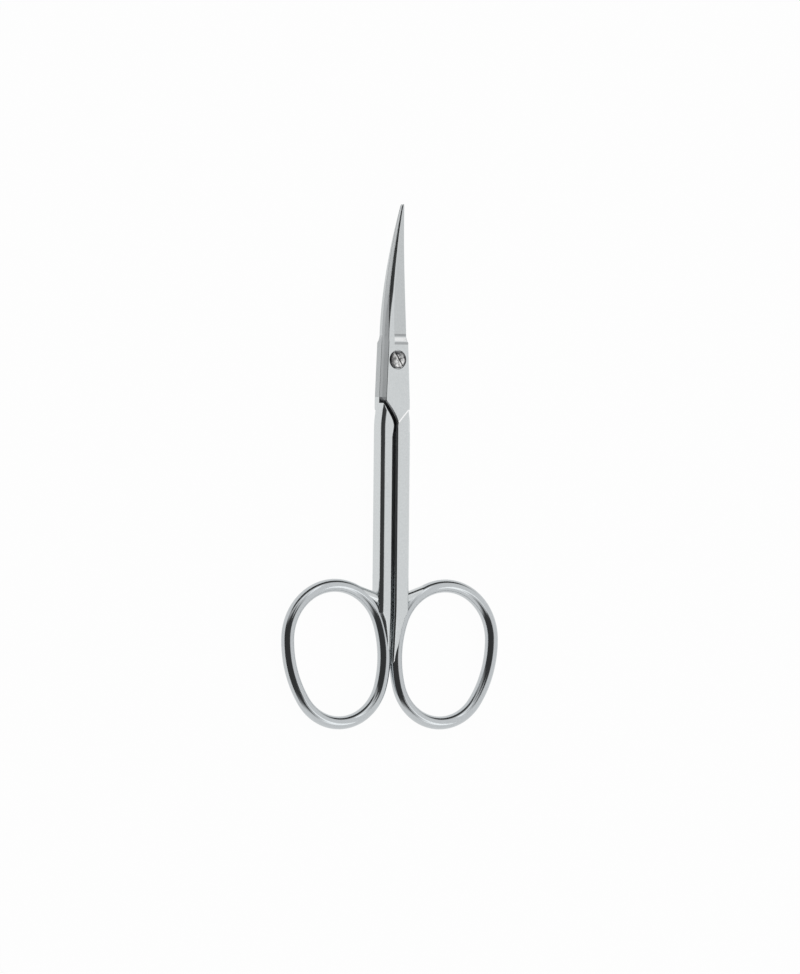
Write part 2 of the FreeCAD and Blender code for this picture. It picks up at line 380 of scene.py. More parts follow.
@dataclass(frozen=True)
class PolishedMetal:
    """A bright plated finish with flecks, fine polishing lines and a little haze.

    Marked faces can be satin, with a near-black painted shade blended into their colour, or carry a
    near-white painted highlight.
    """

    name: str
    dark_tone: Tone
    light_tone: Tone
    lowest_roughness: float
    highest_roughness: float
    grain: tuple[float, float, float]
    grain_depth: float
    haze_scale: float = 220.0
    haze_detail: float = 4.0
    haze_low: float = 0.3
    haze_high: float = 0.7
    fleck_scale: float = 2600.0
    fleck_spread: float = 1.0
    fine_detail: float = 3.0
    dull_roughness: float = 0.6
    # Tones of the painted shade and the painted highlight on marked faces
    painted_shade_tone: Tone = (0.05, 0.05, 0.055, 1)
    painted_highlight_tone: Tone = (0.95, 0.95, 0.95, 1)

    def roughness(self, tree: Tree, place: Socket) -> Socket:
        """Return the roughness: a haze over the polish, and more where a face is dull.

        Args:
            tree: The material's node tree.
            place: Object coordinates.

        Returns:
            The roughness.
        """
        haze = add_node(tree, "ShaderNodeTexNoise", {
            "Vector": place, "Scale": self.haze_scale, "Detail": self.haze_detail,
        })
        polish = add_node(tree, "ShaderNodeMapRange", {
            "Value": haze.outputs["Fac"],
            "From Min": self.haze_low, "From Max": self.haze_high,
            "To Min": self.lowest_roughness, "To Max": self.highest_roughness,
        })
        satin_and_painted_shade = add_node(tree, "ShaderNodeAttribute", {}, attribute_name="satin_and_painted_shade")
        satin = add_node(tree, "ShaderNodeMix", {
            "Factor": satin_and_painted_shade.outputs["Fac"], "A": polish.outputs["Result"], "B": self.dull_roughness,
        })
        return satin.outputs["Result"]

    def colour(self, tree: Tree, place: Socket) -> Socket:
        """Return the colour: flecks between two tones, then a near-black painted shade and a near-white
        painted highlight on marked faces.

        Args:
            tree: The material's node tree.
            place: Object coordinates.

        Returns:
            The colour.
        """
        fleck = add_node(tree, "ShaderNodeTexNoise", {
            "Vector": place, "Scale": self.fleck_scale, "Detail": self.fine_detail,
        })
        contrast = add_node(tree, "ShaderNodeMapRange", {
            "Value": fleck.outputs["Fac"],
            "From Min": (1 - self.fleck_spread) / 2, "From Max": (1 + self.fleck_spread) / 2,
        })
        tone = add_node(tree, "ShaderNodeMix", {
            "Factor": contrast.outputs["Result"], "A": self.dark_tone, "B": self.light_tone,
        }, data_type="RGBA")
        # Marked faces blend toward a near-black painted shade and a near-white painted highlight
        for mark, marked_tone in (("satin_and_painted_shade", self.painted_shade_tone), ("painted_highlight", self.painted_highlight_tone)):
            share = add_node(tree, "ShaderNodeAttribute", {}, attribute_name=mark)
            tone = add_node(tree, "ShaderNodeMix", {
                "Factor": share.outputs["Fac"], "A": tone.outputs["Result"], "B": marked_tone,
            }, data_type="RGBA")
        return tone.outputs["Result"]

    def polishing_lines(self, tree: Tree, place: Socket) -> Socket:
        """Return the surface's direction, ruffled by fine lines.

        Args:
            tree: The material's node tree.
            place: Object coordinates.

        Returns:
            The direction.
        """
        stretch = add_node(tree, "ShaderNodeMapping", {"Vector": place, "Scale": self.grain})
        lines = add_node(tree, "ShaderNodeTexNoise", {
            "Vector": stretch.outputs["Vector"], "Scale": 1.0, "Detail": self.fine_detail,
        })
        bump = add_node(tree, "ShaderNodeBump", {
            "Strength": 1.0, "Distance": self.grain_depth, "Height": lines.outputs["Fac"],
        })
        return bump.outputs["Normal"]

    def build(self) -> bpy.types.Material:
        """Return the finish as a material.

        Returns:
            The material, made of procedural nodes.
        """
        material = bpy.data.materials.new(self.name)
        material.use_nodes = True
        tree = material.node_tree
        place = tree.nodes.new("ShaderNodeTexCoord").outputs["Object"]
        shader = tree.nodes["Principled BSDF"].inputs
        shader["Metallic"].default_value = 1.0
        tree.links.new(self.colour(tree, place), shader["Base Color"])
        tree.links.new(self.roughness(tree, place), shader["Roughness"])
        tree.links.new(self.polishing_lines(tree, place), shader["Normal"])
        return material


BLADE_PLATE = PolishedMetal(
    name="polished_blade",
    dark_tone=(0.57, 0.595, 0.605, 1),
    light_tone=(0.67, 0.695, 0.7, 1),
    lowest_roughness=0.1,
    highest_roughness=0.19,
    grain=(9000.0, 500.0, 9000.0),
    grain_depth=0.0000012,
)
WIRE_PLATE = PolishedMetal(
    name="polished_wire",
    dark_tone=(0.48, 0.505, 0.52, 1),
    light_tone=(0.57, 0.595, 0.61, 1),
    lowest_roughness=0.08,
    highest_roughness=0.16,
    grain=(2500.0, 2500.0, 2500.0),
    grain_depth=0.0000012,
)
SCREW_STEEL = PolishedMetal(
    name="screw_steel",
    dark_tone=(0.05, 0.055, 0.06, 1),
    light_tone=(0.86, 0.86, 0.85, 1),
    lowest_roughness=0.14,
    highest_roughness=0.26,
    grain=(4000.0, 4000.0, 4000.0),
    grain_depth=0.000001,
    fleck_scale=1500.0,
    fleck_spread=0.3,
)


@dataclass
class Bow:
    """The plan of a finger bow: round wire bent to an egg of four arcs, in the half's local frame."""

    wire: float = 2.3
    hole_width: float = 16.9
    hole_height: float = 21.9
    broad_rise: float = 0.95
    hole_side_radius: float = 18.1
    lean: float = 9.3
    gap: float = 0.1
    handle_reach: float = 64.95
    steps: int = 360

    def __post_init__(self) -> None:
        """Work out the arcs of the centre line from the sizes of the hole."""
        self.radius = self.wire / 2
        self.side_radius = self.hole_side_radius + self.radius
        self.side_offset = self.side_radius - self.hole_width / 2 - self.radius
        self.top_offset, self.top_radius, self.top_split = self.end_arc(-self.broad_rise)
        self.foot_offset, self.foot_radius, self.foot_split = self.end_arc(self.broad_rise)
        tilt = math.radians(self.lean)
        self.turn = Matrix.Rotation(-tilt, 2)
        across = self.side_radius - self.side_offset * math.cos(tilt)
        along = self.foot_radius + self.foot_offset * math.cos(tilt)
        self.centre = Vector((
            self.gap / 2 + self.radius + across,
            self.radius - self.handle_reach + along,
        ))
        self.top = self.centre + self.turn @ Vector((0, self.top_offset))
        self.inner_side = self.centre + self.turn @ Vector((self.side_offset, 0))

    def end_arc(self, rise: float) -> tuple[float, float, float]:
        """Return the offset and radius of an end arc, and the angle where it meets the side arcs.

        Args:
            rise: How much farther than half the hole's height the end lies from the widest level.

        Returns:
            Offset of the arc's centre, its radius and the angle in radians.
        """
        reach = self.hole_height / 2 + rise + self.radius
        rest = self.side_radius - reach
        offset = (self.side_offset**2 - rest**2) / (2 * rest)
        return offset, reach - offset, math.atan2(offset, self.side_offset)

    def point(self, angle: float) -> Vector:
        """Return the centre line's point whose outward direction has an angle, before the lean.

        Args:
            angle: Angle from the egg's short axis, in radians.

        Returns:
            The point in plan.
        """
        outward = Vector((math.cos(angle), math.sin(angle)))
        slope = math.asin(abs(outward.y))
        split, offset, radius = self.top_split, self.top_offset, self.top_radius
        if outward.y < 0:
            split, offset, radius = self.foot_split, -self.foot_offset, self.foot_radius
        middle = Vector((0, offset))
        if slope <= split:
            middle = Vector((-math.copysign(self.side_offset, outward.x), 0))
            radius = self.side_radius
        return self.centre + self.turn @ (middle + outward * radius)

    def inner_x(self, y: float) -> float:
        """Return the centre line's X on the side next to the other half.

        Args:
            y: Place along the half, below the bow's top.

        Returns:
            The X coordinate.
        """
        if y > self.point(math.pi - self.top_split).y:
            rise = min(abs(y - self.top.y), self.top_radius)
            return self.top.x - math.sqrt(self.top_radius**2 - rise**2)
        rise = y - self.inner_side.y
        return self.inner_side.x - math.sqrt(self.side_radius**2 - rise**2)


@dataclass
class FingerBow:
    """A finger bow's wire, swept along the bow's plan by a node tree."""

    side: Side
    place: Matrix
    finish: bpy.types.Material
    plan: Bow
    wire_sides: int = 40

    def sweep_tree(self) -> Tree:
        """Return the node tree that runs a round wire along a curve and gives it its finish.

        Returns:
            The tree, with the wire's radius, its sides and its finish as inputs.
        """
        tree = bpy.data.node_groups.new("wire_sweep", "GeometryNodeTree")
        for name, way, kind in (
            ("Path", "INPUT", "NodeSocketGeometry"),
            ("Wire radius", "INPUT", "NodeSocketFloat"),
            ("Wire sides", "INPUT", "NodeSocketInt"),
            ("Finish", "INPUT", "NodeSocketMaterial"),
            ("Wire", "OUTPUT", "NodeSocketGeometry"),
        ):
            tree.interface.new_socket(name, in_out=way, socket_type=kind)
        start = tree.nodes.new("NodeGroupInput").outputs
        circle = add_node(tree, "GeometryNodeCurvePrimitiveCircle", {
            "Radius": start["Wire radius"], "Resolution": start["Wire sides"],
        })
        sweep = add_node(tree, "GeometryNodeCurveToMesh", {
            "Curve": start["Path"], "Profile Curve": circle.outputs["Curve"],
        })
        smooth = add_node(tree, "GeometryNodeSetShadeSmooth", {"Geometry": sweep.outputs["Mesh"]})
        real = add_node(tree, "GeometryNodeRealizeInstances", {"Geometry": smooth.outputs["Geometry"]})
        dress = add_node(tree, "GeometryNodeSetMaterial", {
            "Geometry": real.outputs["Geometry"], "Material": start["Finish"],
        })
        add_node(tree, "NodeGroupOutput", {"Wire": dress.outputs["Geometry"]})
        return tree

    def path(self) -> bpy.types.Object:
        """Return the bow's closed centre line.

        Returns:
            A curve object, with the half's place in its points.
        """
        curve = bpy.data.curves.new("bow_path", "CURVE")
        curve.dimensions = "3D"
        spline = curve.splines.new("POLY")
        spline.points.add(self.plan.steps - 1)
        for step, knot in enumerate(spline.points):
            spot = self.plan.point(2 * math.pi * step / self.plan.steps)
            knot.co = (*(self.place @ Vector((spot.x * MM, spot.y * MM, 0))), 1)
        spline.use_cyclic_u = True
        return linked("bow_path", curve)

    def build(self) -> bpy.types.Object:
        """Return the finished wire, riding on its half in place of the CAD node.

        Returns:
            The new piece.
        """
        tree = self.sweep_tree()
        path = self.path()
        sweep = path.modifiers.new("sweep", "NODES")
        sweep.node_group = tree
        values = {
            "Wire radius": self.plan.radius * MM,
            "Wire sides": self.wire_sides,
            "Finish": self.finish,
        }
        for item in tree.interface.items_tree:
            if item.in_out == "INPUT" and item.name in values:
                sweep[item.identifier] = values[item.name]
        bpy.context.view_layer.update()
        mesh = plain_mesh(path)
        mesh.name = self.side.bow_node + "_wire"
        piece = linked(self.side.bow_node + "_wire", mesh)
        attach(piece, self.side.body)
        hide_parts(self.side.bow_node)
        return piece


@dataclass
class Forging:
    """One half without its bow: blade, joint block and shank lofted through sections along Y.

    The local frame has the parting plane at Z = 0, the half above it, and its handle on the +X side.
    A lead or a lag says how far before or after its place a change starts, and a run how long it takes.
    """

    side: Side
    place: Matrix
    finish: bpy.types.Material
    bow: Bow
    # Joint block, and the flat that ends in a slanted bevel
    block_thickness: float = 1.85
    block_chamfer: float = 0.25
    face_gap: float = 0.06
    flat_drop: float = 0.4
    flat_slope: float = 48.0
    flat_bevel: float = 0.425
    flat_bevel_tilt: float = 31.46
    flat_lead: float = 0.6
    flat_run: float = 0.8
    # Heel, and the stepped shoulder that clears the other half's heel
    heel_width: float = 5.25
    heel_reach: float = 6.9
    heel_slope: float = 58.0
    heel_curve: float = 1.5
    heel_blend: float = 0.4
    heel_clearance: float = 0.52
    step_edge: float = 0.3
    step_lag: float = 0.2
    step_run: float = 2.6
    step_search: float = 0.01
    # Blade
    blade_reach: float = 27.3
    root_width: float = 4.35
    root_reach: float = 4.3
    root_thickness: float = 1.7
    choil_length: float = 1.4
    edge_setback: float = 0.05
    tip_width: float = 0.6
    tip_thickness: float = 0.5
    tip_round: float = 0.4
    tip_bluntness: float = 0.85
    taper_power: float = 1.4
    thinning_power: float = 1.5
    bowl_start: float = 5.0
    bowl_radius: float = 85.0
    spine_bevel: float = 0.42
    spine_wall_share: float = 0.5
    spine_round: float = 2.0
    ridge_round: float = 0.9
    rounding_run: float = 11.0
    root_strip_share: float = 0.28
    tip_strip_share: float = 0.08
    ground_share: float = 0.75
    edge_bevel: float = 0.15
    edge_land: float = 0.1
    # Shank, and its tail along the bow
    shank_width: float = 3.0
    shank_thickness: float = 3.3
    shank_corner: float = 0.8
    inner_corner: float = 0.5
    inner_lead: float = 0.6
    inner_run: float = 2.0
    shoulder_length: float = 5.0
    tail_length: float = 8.4
    tail_thickness: float = 1.8
    tail_corner: float = 0.6
    tail_fade: float = 1.5
    tail_thinning: float = 0.8
    tail_soft: float = 0.3
    # Straight wire stub in the crotch
    stub_wire: float = 2.1
    stub_angle: float = 19.0
    stub_depth: float = 1.5
    stub_sides: int = 64
    # Faces that get painted shade (and are satin), darkening by the way they face, and painted highlights,
    # and where they lie
    spine_shade: float = 0.42
    spine_shade_fade: float = 0.7
    side_darkening: float = 0.27
    ground_darkening: float = 0.14
    choil_line_shade: float = 0.35
    choil_highlight: float = 0.65
    choil_left: float = -0.435
    choil_line: float = 0.15
    slit_shade: float = 0.85
    slit_lead: float = 0.3
    slit_reach: float = 1.5
    inner_wall_shade: float = 0.5
    inner_shade_fade: float = 0.8
    inner_shade_fade_start: float = 12.0
    inner_shade_fade_full: float = 2.0
    notch_shade: float = 0.85
    notch_lead: float = 0.36
    notch_run: float = 1.8
    # Roundings of the mesh, and the limits that narrow places set to them
    fine_edge: float = 0.05
    corner_steps: int = 5
    corner_guard: float = 0.03
    corner_thickness_share: float = 0.45
    outer_width_share: float = 0.38
    step_width_share: float = 0.6
    least_face: float = 0.02
    crease: float = 38.0
    # Spacing of the sections
    tip_pitch: float = 0.05
    blade_pitch: float = 0.4
    choil_pitch: float = 0.08
    block_pitch: float = 0.6
    heel_pitch: float = 0.06
    slit_pitch: float = 0.1
    shank_pitch: float = 1.0
    tail_pitch: float = 0.12
    tip_margin: float = 0.6
    choil_margin: float = 0.3
    heel_margin: float = 0.8
    shank_margin: float = 3.0

    def __post_init__(self) -> None:
        """Work out the places that follow from the sizes."""
        self.inner = self.bow.gap / 2
        self.outer = self.inner + self.shank_width
        run = self.bow.top.x - self.outer
        self.tail_start = self.bow.top.y + math.sqrt(self.bow.top_radius**2 - run**2)
        self.tail_end = self.tail_start - self.tail_length - self.tail_fade
        slope = math.radians(self.heel_slope)
        heel = self.heel_width / 2
        self.heel_end = -self.heel_reach - (heel + self.inner) * math.tan(slope)
        self.flat_end = self.heel_end - self.flat_drop
        rise = (heel - self.inner) * math.tan(math.radians(self.flat_slope))
        self.flat_start = self.flat_end + rise
        self.step_away = self.heel_clearance * math.sin(slope)
        self.step_below = self.heel_clearance * math.cos(slope)
        self.step_start = -self.heel_reach - self.step_below
        while self.step_x(self.step_start) > self.shoulder_x(self.step_start):
            self.step_start -= self.step_search
        turn = math.radians(self.flat_slope)
        tilt = math.radians(self.flat_bevel_tilt)
        level = Vector((math.sin(turn), -math.cos(turn), 0))
        self.bevel_way = level * math.sin(tilt) + Vector((0, 0, math.cos(tilt)))
        self.heel_way = Vector((-math.sin(slope), -math.cos(slope), 0))
        self.step_way = Vector((-math.sin(slope), math.cos(slope), 0))

    def shoulder_x(self, y: float) -> float:
        """Return the shank's outer wall at y, before its tail."""
        share = ease((-self.heel_reach - y) / self.shoulder_length)
        return mix(self.heel_width / 2, self.outer, share)

    def block_half_width(self, y: float) -> float:
        """Return half the joint block's width at y."""
        share = (y + self.heel_reach) / (self.heel_reach + self.root_reach)
        return mix(self.heel_width, self.root_width, min(max(share, 0.0), 1.0)) / 2

    def blade_half_width(self, y: float) -> float:
        """Return half the blade's width: the block's taper, then an ogive to a rounded tip.

        Args:
            y: Place along the half.

        Returns:
            Half the width.
        """
        if y <= self.root_reach:
            return self.block_half_width(y)
        share = (y - self.root_reach) / (self.blade_reach - self.root_reach)
        half = mix(self.root_width, self.tip_width, share**self.taper_power) / 2
        near = max((y - self.blade_reach) / self.tip_round + 1, 0.0)
        return half * math.sqrt(1 - self.tip_bluntness * near * near)

    def heel_x(self, y: float) -> float:
        """Return the heel: a curve that steepens from the block's side to the shank's inner wall.

        Args:
            y: Place along the half.

        Returns:
            The X coordinate.
        """
        heel = self.heel_width / 2
        share = (self.heel_reach + y) / (self.heel_reach + self.heel_end)
        if share < 0:
            return -heel + (heel + self.inner) * self.heel_curve * share
        return -heel + (heel + self.inner) * (1 - (1 - min(share, 1.0)) ** self.heel_curve)

    def step_x(self, y: float) -> float:
        """Return the wall at y that stands clear of the other half's heel."""
        return max(self.step_away - self.heel_x(y + self.step_below), self.inner)

    def spine_x(self, y: float) -> float:
        """Return the spine side of the half at y, which turns into the heel below the block."""
        return min(soft_max(-self.blade_half_width(y), self.heel_x(y), self.heel_blend), self.inner)

    def bowl_rise(self, radius: float) -> float:
        """Return how far the curved inner face has left the parting plane at a radius."""
        run = max(radius - self.bowl_start, 0.0)
        return self.side.bend * (self.bowl_radius - math.sqrt(self.bowl_radius**2 - run**2))

    def blade_corners(self, y: float) -> list[Corner]:
        """Return the section's corners at a y from the heel to the tip.

        Args:
            y: Place along the half.

        Returns:
            Ten corners, from the inner face's spine side round the outer faces to the cutting edge.
        """
        ground = ease((y - self.root_reach + self.choil_length) / self.choil_length)
        share = max((y - self.root_reach) / (self.blade_reach - self.root_reach), 0.0)
        base = self.bowl_rise(y)
        side = -self.blade_half_width(y)
        spine = self.spine_x(y)
        edge = -side - self.edge_setback * ground * (1 - share)
        thinned = mix(self.root_thickness, self.tip_thickness, share**self.thinning_power)
        thickness = mix(self.block_thickness, thinned, ground)

        # Bevelled spine, which the heel cuts away, and the strip beside it
        bevel = min(self.spine_bevel, self.tip_width / 3 + self.spine_bevel * (1 - share), -side)
        rest = 1 - (spine - side) / bevel
        rounded = ease((y - self.root_reach) / self.rounding_run)
        drop = thickness * (1 - self.spine_wall_share) * rest
        ridge = side + bevel
        strip = (edge - ridge) * mix(self.root_strip_share, self.tip_strip_share, share)

        # Ground face, edge bevel and land
        shoulder = min(mix(self.block_chamfer, self.edge_bevel, ground), edge / 2)
        ground_wall = mix(thickness, thickness * self.ground_share, ground)
        land = mix(thickness - self.block_chamfer, self.edge_land, ground) + base

        # Inner face on the bowl
        reach = max(y, 0.0)
        low_edge = self.face_gap / 2 + self.bowl_rise(math.hypot(edge * ground, reach))
        low_spine = self.face_gap / 2 + self.bowl_rise(math.hypot(spine * ground, reach))
        fine = self.fine_edge
        wall = [Corner(edge, mix(land, low_edge, step / 4)) for step in range(1, 4)]
        return [
            Corner(spine, low_spine, fine),
            Corner(spine, base + thickness - drop, mix(2 * fine, self.spine_round, rounded)),
            Corner(ridge, base + thickness, mix(2 * fine, self.ridge_round, rounded)),
            Corner(ridge + strip, base + thickness, fine),
            Corner(edge - shoulder, base + ground_wall, 2 * fine),
            Corner(edge, land, fine * (1 - ground / 2)),
            *wall,
            Corner(edge, low_edge, fine * (1 - ground / 2)),
        ]

    def handle_corners(self, y: float) -> list[Corner]:
        """Return the section's corners at a y from the heel to the end of the tail.

        Args:
            y: Place along the half.

        Returns:
            Ten corners in the same order as the blade's.
        """
        # Size of the bar
        heel = self.heel_width / 2
        low = self.face_gap / 2
        left = self.spine_x(y)
        tail = min(soft_max((self.tail_start - y) / self.tail_length, 0.0, self.tail_soft), 1.0)
        fade = ease((self.tail_end + self.tail_fade - y) / self.tail_fade)
        thickness = mix(self.shank_thickness, self.tail_thickness, tail) * (1 - self.tail_thinning * fade)
        half = thickness / 2
        full = min(mix(self.shank_corner, self.tail_corner, tail), self.corner_thickness_share * thickness)
        right = self.shoulder_x(y)
        if y < self.tail_start:
            right = min(right, self.bow.inner_x(y))
        step = min(self.step_x(y), right)
        width = right - step

        # Inner edge: the spine's bevel runs out, and a chamfer turns into the bar's rounding
        rounding = ease((self.heel_end + self.inner_lead - y) / self.inner_run)
        rest = max(1 - (left + heel) / self.spine_bevel, 0.0)
        inner_full = min(self.inner_corner, full)
        chamfer = mix(self.block_chamfer, inner_full * (2 - math.sqrt(2)), rounding)
        cut = max(chamfer, self.spine_bevel * rest)
        drop = max(chamfer, self.block_thickness * (1 - self.spine_wall_share) * rest)

        # End of the block's flat: a slanted bevel down to the top of the bar
        top = mix(self.block_thickness, half, ease((self.flat_end + self.flat_lead - y) / self.flat_run))
        flat_inset = max(self.flat_start - y, 0.0) / math.tan(math.radians(self.flat_slope))
        flat_low = max(heel - flat_inset, left + cut + 2 * self.least_face)
        flat_high = max(flat_low - self.flat_bevel, left + cut + self.least_face)

        # Outer top corner, which starts part of the way round where the flat still covers it
        corner = min(full, self.outer_width_share * width) if y < self.tail_start else full
        start = max(flat_low, right - corner)
        share = min(max((start - right + corner) / corner, 0.0), 1.0)
        lift = corner * math.sqrt(1 - share * share)
        shelf = half - corner + lift
        peak = half
        if lift <= corner - LEAST_LENGTH:
            peak = shelf - share * (right - start) / max(lift / corner, LEAST_LENGTH)
        fine = self.fine_edge
        edge_round = mix(2 * fine, inner_full, rounding)
        step_fine = fine if step > left + fine else 0.0
        upper_part = [
            Corner(left, low, step_fine),
            Corner(left, top - drop, edge_round),
            Corner(left + cut, top, edge_round),
            Corner(flat_high, top, 2 * fine),
            Corner(flat_low, half, 2 * fine),
            Corner(start, shelf),
            Corner(right, peak, corner),
        ]

        # Below the parting plane there is bar only where the other half's heel has ended
        if y > self.step_start:
            wall = [Corner(right, mix(half - corner, low, part)) for part in (0.4, 0.7)]
            return upper_part + wall + [Corner(right, low, fine)]
        step_round = mix(self.step_edge, full, ease((self.heel_end - self.step_lag - y) / self.step_run))
        return upper_part + [
            Corner(right, -half, corner),
            Corner(step, -half, min(step_round, self.step_width_share * width)),
            Corner(step, low, step_fine),
        ]

    def stations(self) -> list[float]:
        """Return the places of the sections along Y, closest together where the shape turns.

        Returns:
            Y coordinates from the tip to the end of the tail.
        """
        near_tip = self.blade_reach - self.tip_margin
        above_root = self.root_reach + self.tip_margin
        below_choil = self.root_reach - self.choil_length - self.choil_margin
        above_heel = -self.heel_reach + self.heel_margin
        below_flat = self.flat_end - self.shank_margin
        above_tail = self.tail_start + self.shank_margin
        runs = [
            (self.blade_reach, near_tip, self.tip_pitch),
            (near_tip, above_root, self.blade_pitch),
            (above_root, below_choil, self.choil_pitch),
            (below_choil, above_heel, self.block_pitch),
            (above_heel, self.step_start, self.heel_pitch),
            (self.step_start, below_flat, self.slit_pitch),
            (below_flat, above_tail, self.shank_pitch),
            (above_tail, self.tail_end, self.tail_pitch),
        ]
        places = []
        for start, end, pitch in runs:
            places += even_steps(start, end, pitch)
        return places + [self.tail_end]

    def section(self, y: float) -> list[Vector]:
        """Return the points of a section.

        Args:
            y: Place along the half.

        Returns:
            The points in metres, as many at every place.
        """
        corners = self.blade_corners(y) if y >= -self.heel_reach else self.handle_corners(y)
        points = outline(corners, self.corner_steps, self.corner_guard)
        return [Vector((x * MM, y * MM, z * MM)) for x, z in points]

    def blank(self) -> bpy.types.Mesh:
        """Return the closed loft from the tip to the end of the tail.

        Returns:
            The mesh in the local frame.
        """
        shape = bmesh.new()
        rings = []
        for y in self.stations():
            rings.append([shape.verts.new(point) for point in self.section(y)])
        count = len(rings[0])
        for ring, after in zip(rings, rings[1:]):
            for index in range(count):
                other = (index + 1) % count
                shape.faces.new((ring[index], ring[other], after[other], after[index]))
        shape.faces.new(rings[0])
        shape.faces.new(rings[-1])
        bmesh.ops.remove_doubles(shape, verts=shape.verts, dist=MERGE_DISTANCE)
        bmesh.ops.dissolve_degenerate(shape, edges=shape.edges, dist=MERGE_DISTANCE / 2)
        return mesh_from("blank", shape)

    def stub(self) -> bpy.types.Mesh:
        """Return the straight wire end that fills the crotch between the bow and the shank.

        Returns:
            The mesh in the local frame.
        """
        slope = math.radians(self.stub_angle)
        start = self.bow.top + Vector((-math.sin(slope), math.cos(slope))) * self.bow.top_radius
        way = Vector((-math.cos(slope), -math.sin(slope), 0))
        length = (start.x - self.stub_depth) / math.cos(slope)
        radius = self.stub_wire / 2
        mesh = turned_mesh("stub", [(0, 0), (radius, 0), (radius, length), (0, length)], self.stub_sides)
        turn = way.to_track_quat("Z", "Y").to_matrix().to_4x4()
        mesh.transform(Matrix.Translation((start.x * MM, start.y * MM, 0)) @ turn)
        return mesh

    def pivot_tool(self, screw: "PivotScrew") -> bpy.types.Mesh:
        """Return the space of the pivot hole, with the head's seat or the countersink of the end.

        Args:
            screw: The screw that goes through the hole.

        Returns:
            The mesh in the local frame.
        """
        top = self.block_thickness
        if self.side is Side.UPPER:
            hole = screw.shank / 2 + screw.clearance
            floor = top - screw.seat_depth
            seat = screw.seat / 2
            mouth = seat + self.fine_edge
            sides = [(hole, floor), (seat, floor), (seat, top - self.fine_edge), (mouth, top)]
        else:
            hole = screw.thread / 2
            mouth = screw.peen / 2
            sides = [(hole, top - screw.peen_depth), (mouth, top)]
        start = [(0, -TOOL_REACH), (hole, -TOOL_REACH)]
        end = [(mouth, top + TOOL_REACH), (0, top + TOOL_REACH)]
        return turned_mesh("pivot_tool", start + sides + end, screw.sides)

    def blade_marks(self, spot: Vector, facing: Vector) -> tuple[float, float]:
        """Return how much painted shade and painted highlight a face of the blade or the block gets.

        The spine gets a band of painted shade that fades toward the tip. Faces of the block that face +X,
        and a little the ground face, are darker and rougher. A line of painted shade stands at each end of
        the choil, with a band of painted highlight between them.

        Args:
            spot: Middle of the face.
            facing: Direction of the face.

        Returns:
            The share of painted shade with satin, and the painted highlight share.
        """
        toward_tip = max(spot.y / self.blade_reach, 0.0)
        # Painted shade band along the spine, fading toward the tip
        spine = self.spine_shade * (1 - self.spine_shade_fade * toward_tip)
        satin_and_painted_shade = faded(-facing.x, start=0.0, full=0.5) * spine
        if spot.y > self.root_reach:
            satin_and_painted_shade += faded(facing.x, start=0.0, full=0.125) * self.ground_darkening
        else:
            satin_and_painted_shade += faded(facing.x, start=0.5, full=1.0) * self.side_darkening
        if spot.x < self.choil_left or facing.z < 0.5:
            return satin_and_painted_shade, 0.0
        # Painted shade lines at the choil's ends, with a painted highlight between
        for line in (self.root_reach, self.root_reach - self.choil_length):
            away = abs(spot.y - line) / self.choil_line
            satin_and_painted_shade += faded(away, start=2.0, full=1.0) * self.choil_line_shade
        away = abs(spot.y - self.root_reach + self.choil_length / 2) / self.choil_length
        return satin_and_painted_shade, faded(away, start=0.32, full=0.12) * self.choil_highlight

    def handle_marks(self, spot: Vector, facing: Vector) -> tuple[float, float]:
        """Return how much painted shade and painted highlight a face of the heel or the shank gets.

        The walls of the slit between the heel and the other half's shank get painted shade, and so do the
        shank's inner wall and the notch above the stub; these faces are satin too. The bevel at the end of
        the flat gets a painted highlight.

        Args:
            spot: Middle of the face.
            facing: Direction of the face.

        Returns:
            The dull share and the bright share.
        """
        satin_and_painted_shade = 0.0
        away = spot.x - self.outer
        # Painted shade in the notch above the stub and on the shank's inner wall
        in_notch = -self.notch_lead < away < self.notch_run and spot.y > self.tail_start
        if in_notch and facing.y > 0.3:
            satin_and_painted_shade = faded(away, start=self.notch_run, full=0.0) * self.notch_shade
        if spot.y < self.heel_end and spot.x < self.shank_corner:
            above_tail = spot.y - self.tail_start
            near_bow = faded(above_tail, self.inner_shade_fade_start, self.inner_shade_fade_full)
            inner = self.inner_wall_shade * (1 - self.inner_shade_fade * near_bow)
            satin_and_painted_shade = faded(-facing.x, start=0.3, full=0.8) * inner
        if spot.y < self.heel_end - self.slit_reach:
            return satin_and_painted_shade, 0.0
        # Painted shade on the slit's walls, and a painted highlight on the flat's end bevel
        toward_slit = max(facing.dot(self.heel_way), facing.dot(self.step_way))
        satin_and_painted_shade = max(satin_and_painted_shade, faded(toward_slit, start=0.6, full=0.9) * self.slit_shade)
        if spot.y >= self.flat_start:
            return satin_and_painted_shade, 0.0
        return satin_and_painted_shade, faded(facing.dot(self.bevel_way), start=0.9, full=0.98)

    def mark_shade_and_highlight(self, mesh: bpy.types.Mesh) -> None:
        """Mark faces with painted shade, satin and painted highlights, for the finish to read.

        Args:
            mesh: The forging in its local frame.
        """
        satin_and_painted_shade = mesh.attributes.new("satin_and_painted_shade", "FLOAT", "FACE")
        painted_highlight = mesh.attributes.new("painted_highlight", "FLOAT", "FACE")
        for face in mesh.polygons:
            spot = face.center / MM
            marks = self.handle_marks
            if spot.y > -self.heel_reach + self.slit_lead:
                marks = self.blade_marks
            satin_and_painted_shade.data[face.index].value, painted_highlight.data[face.index].value = marks(spot, face.normal)

    def build(self, screw: "PivotScrew") -> bpy.types.Object:
        """Return the finished forging, riding on its half in place of the CAD node.

        Args:
            screw: The screw whose hole and seat the joint block has.

        Returns:
            The new piece.
        """
        mesh = combined(self.blank(), self.stub(), "UNION")
        mesh = combined(mesh, self.pivot_tool(screw), "DIFFERENCE")
        # Painted shade and painted highlights are marked on the faces here
        self.mark_shade_and_highlight(mesh)
        piece = dressed(self.side.blade_node + "_forging", mesh, self.place, self.crease, self.finish)
        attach(piece, self.side.body)
        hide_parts(self.side.blade_node)
        return piece


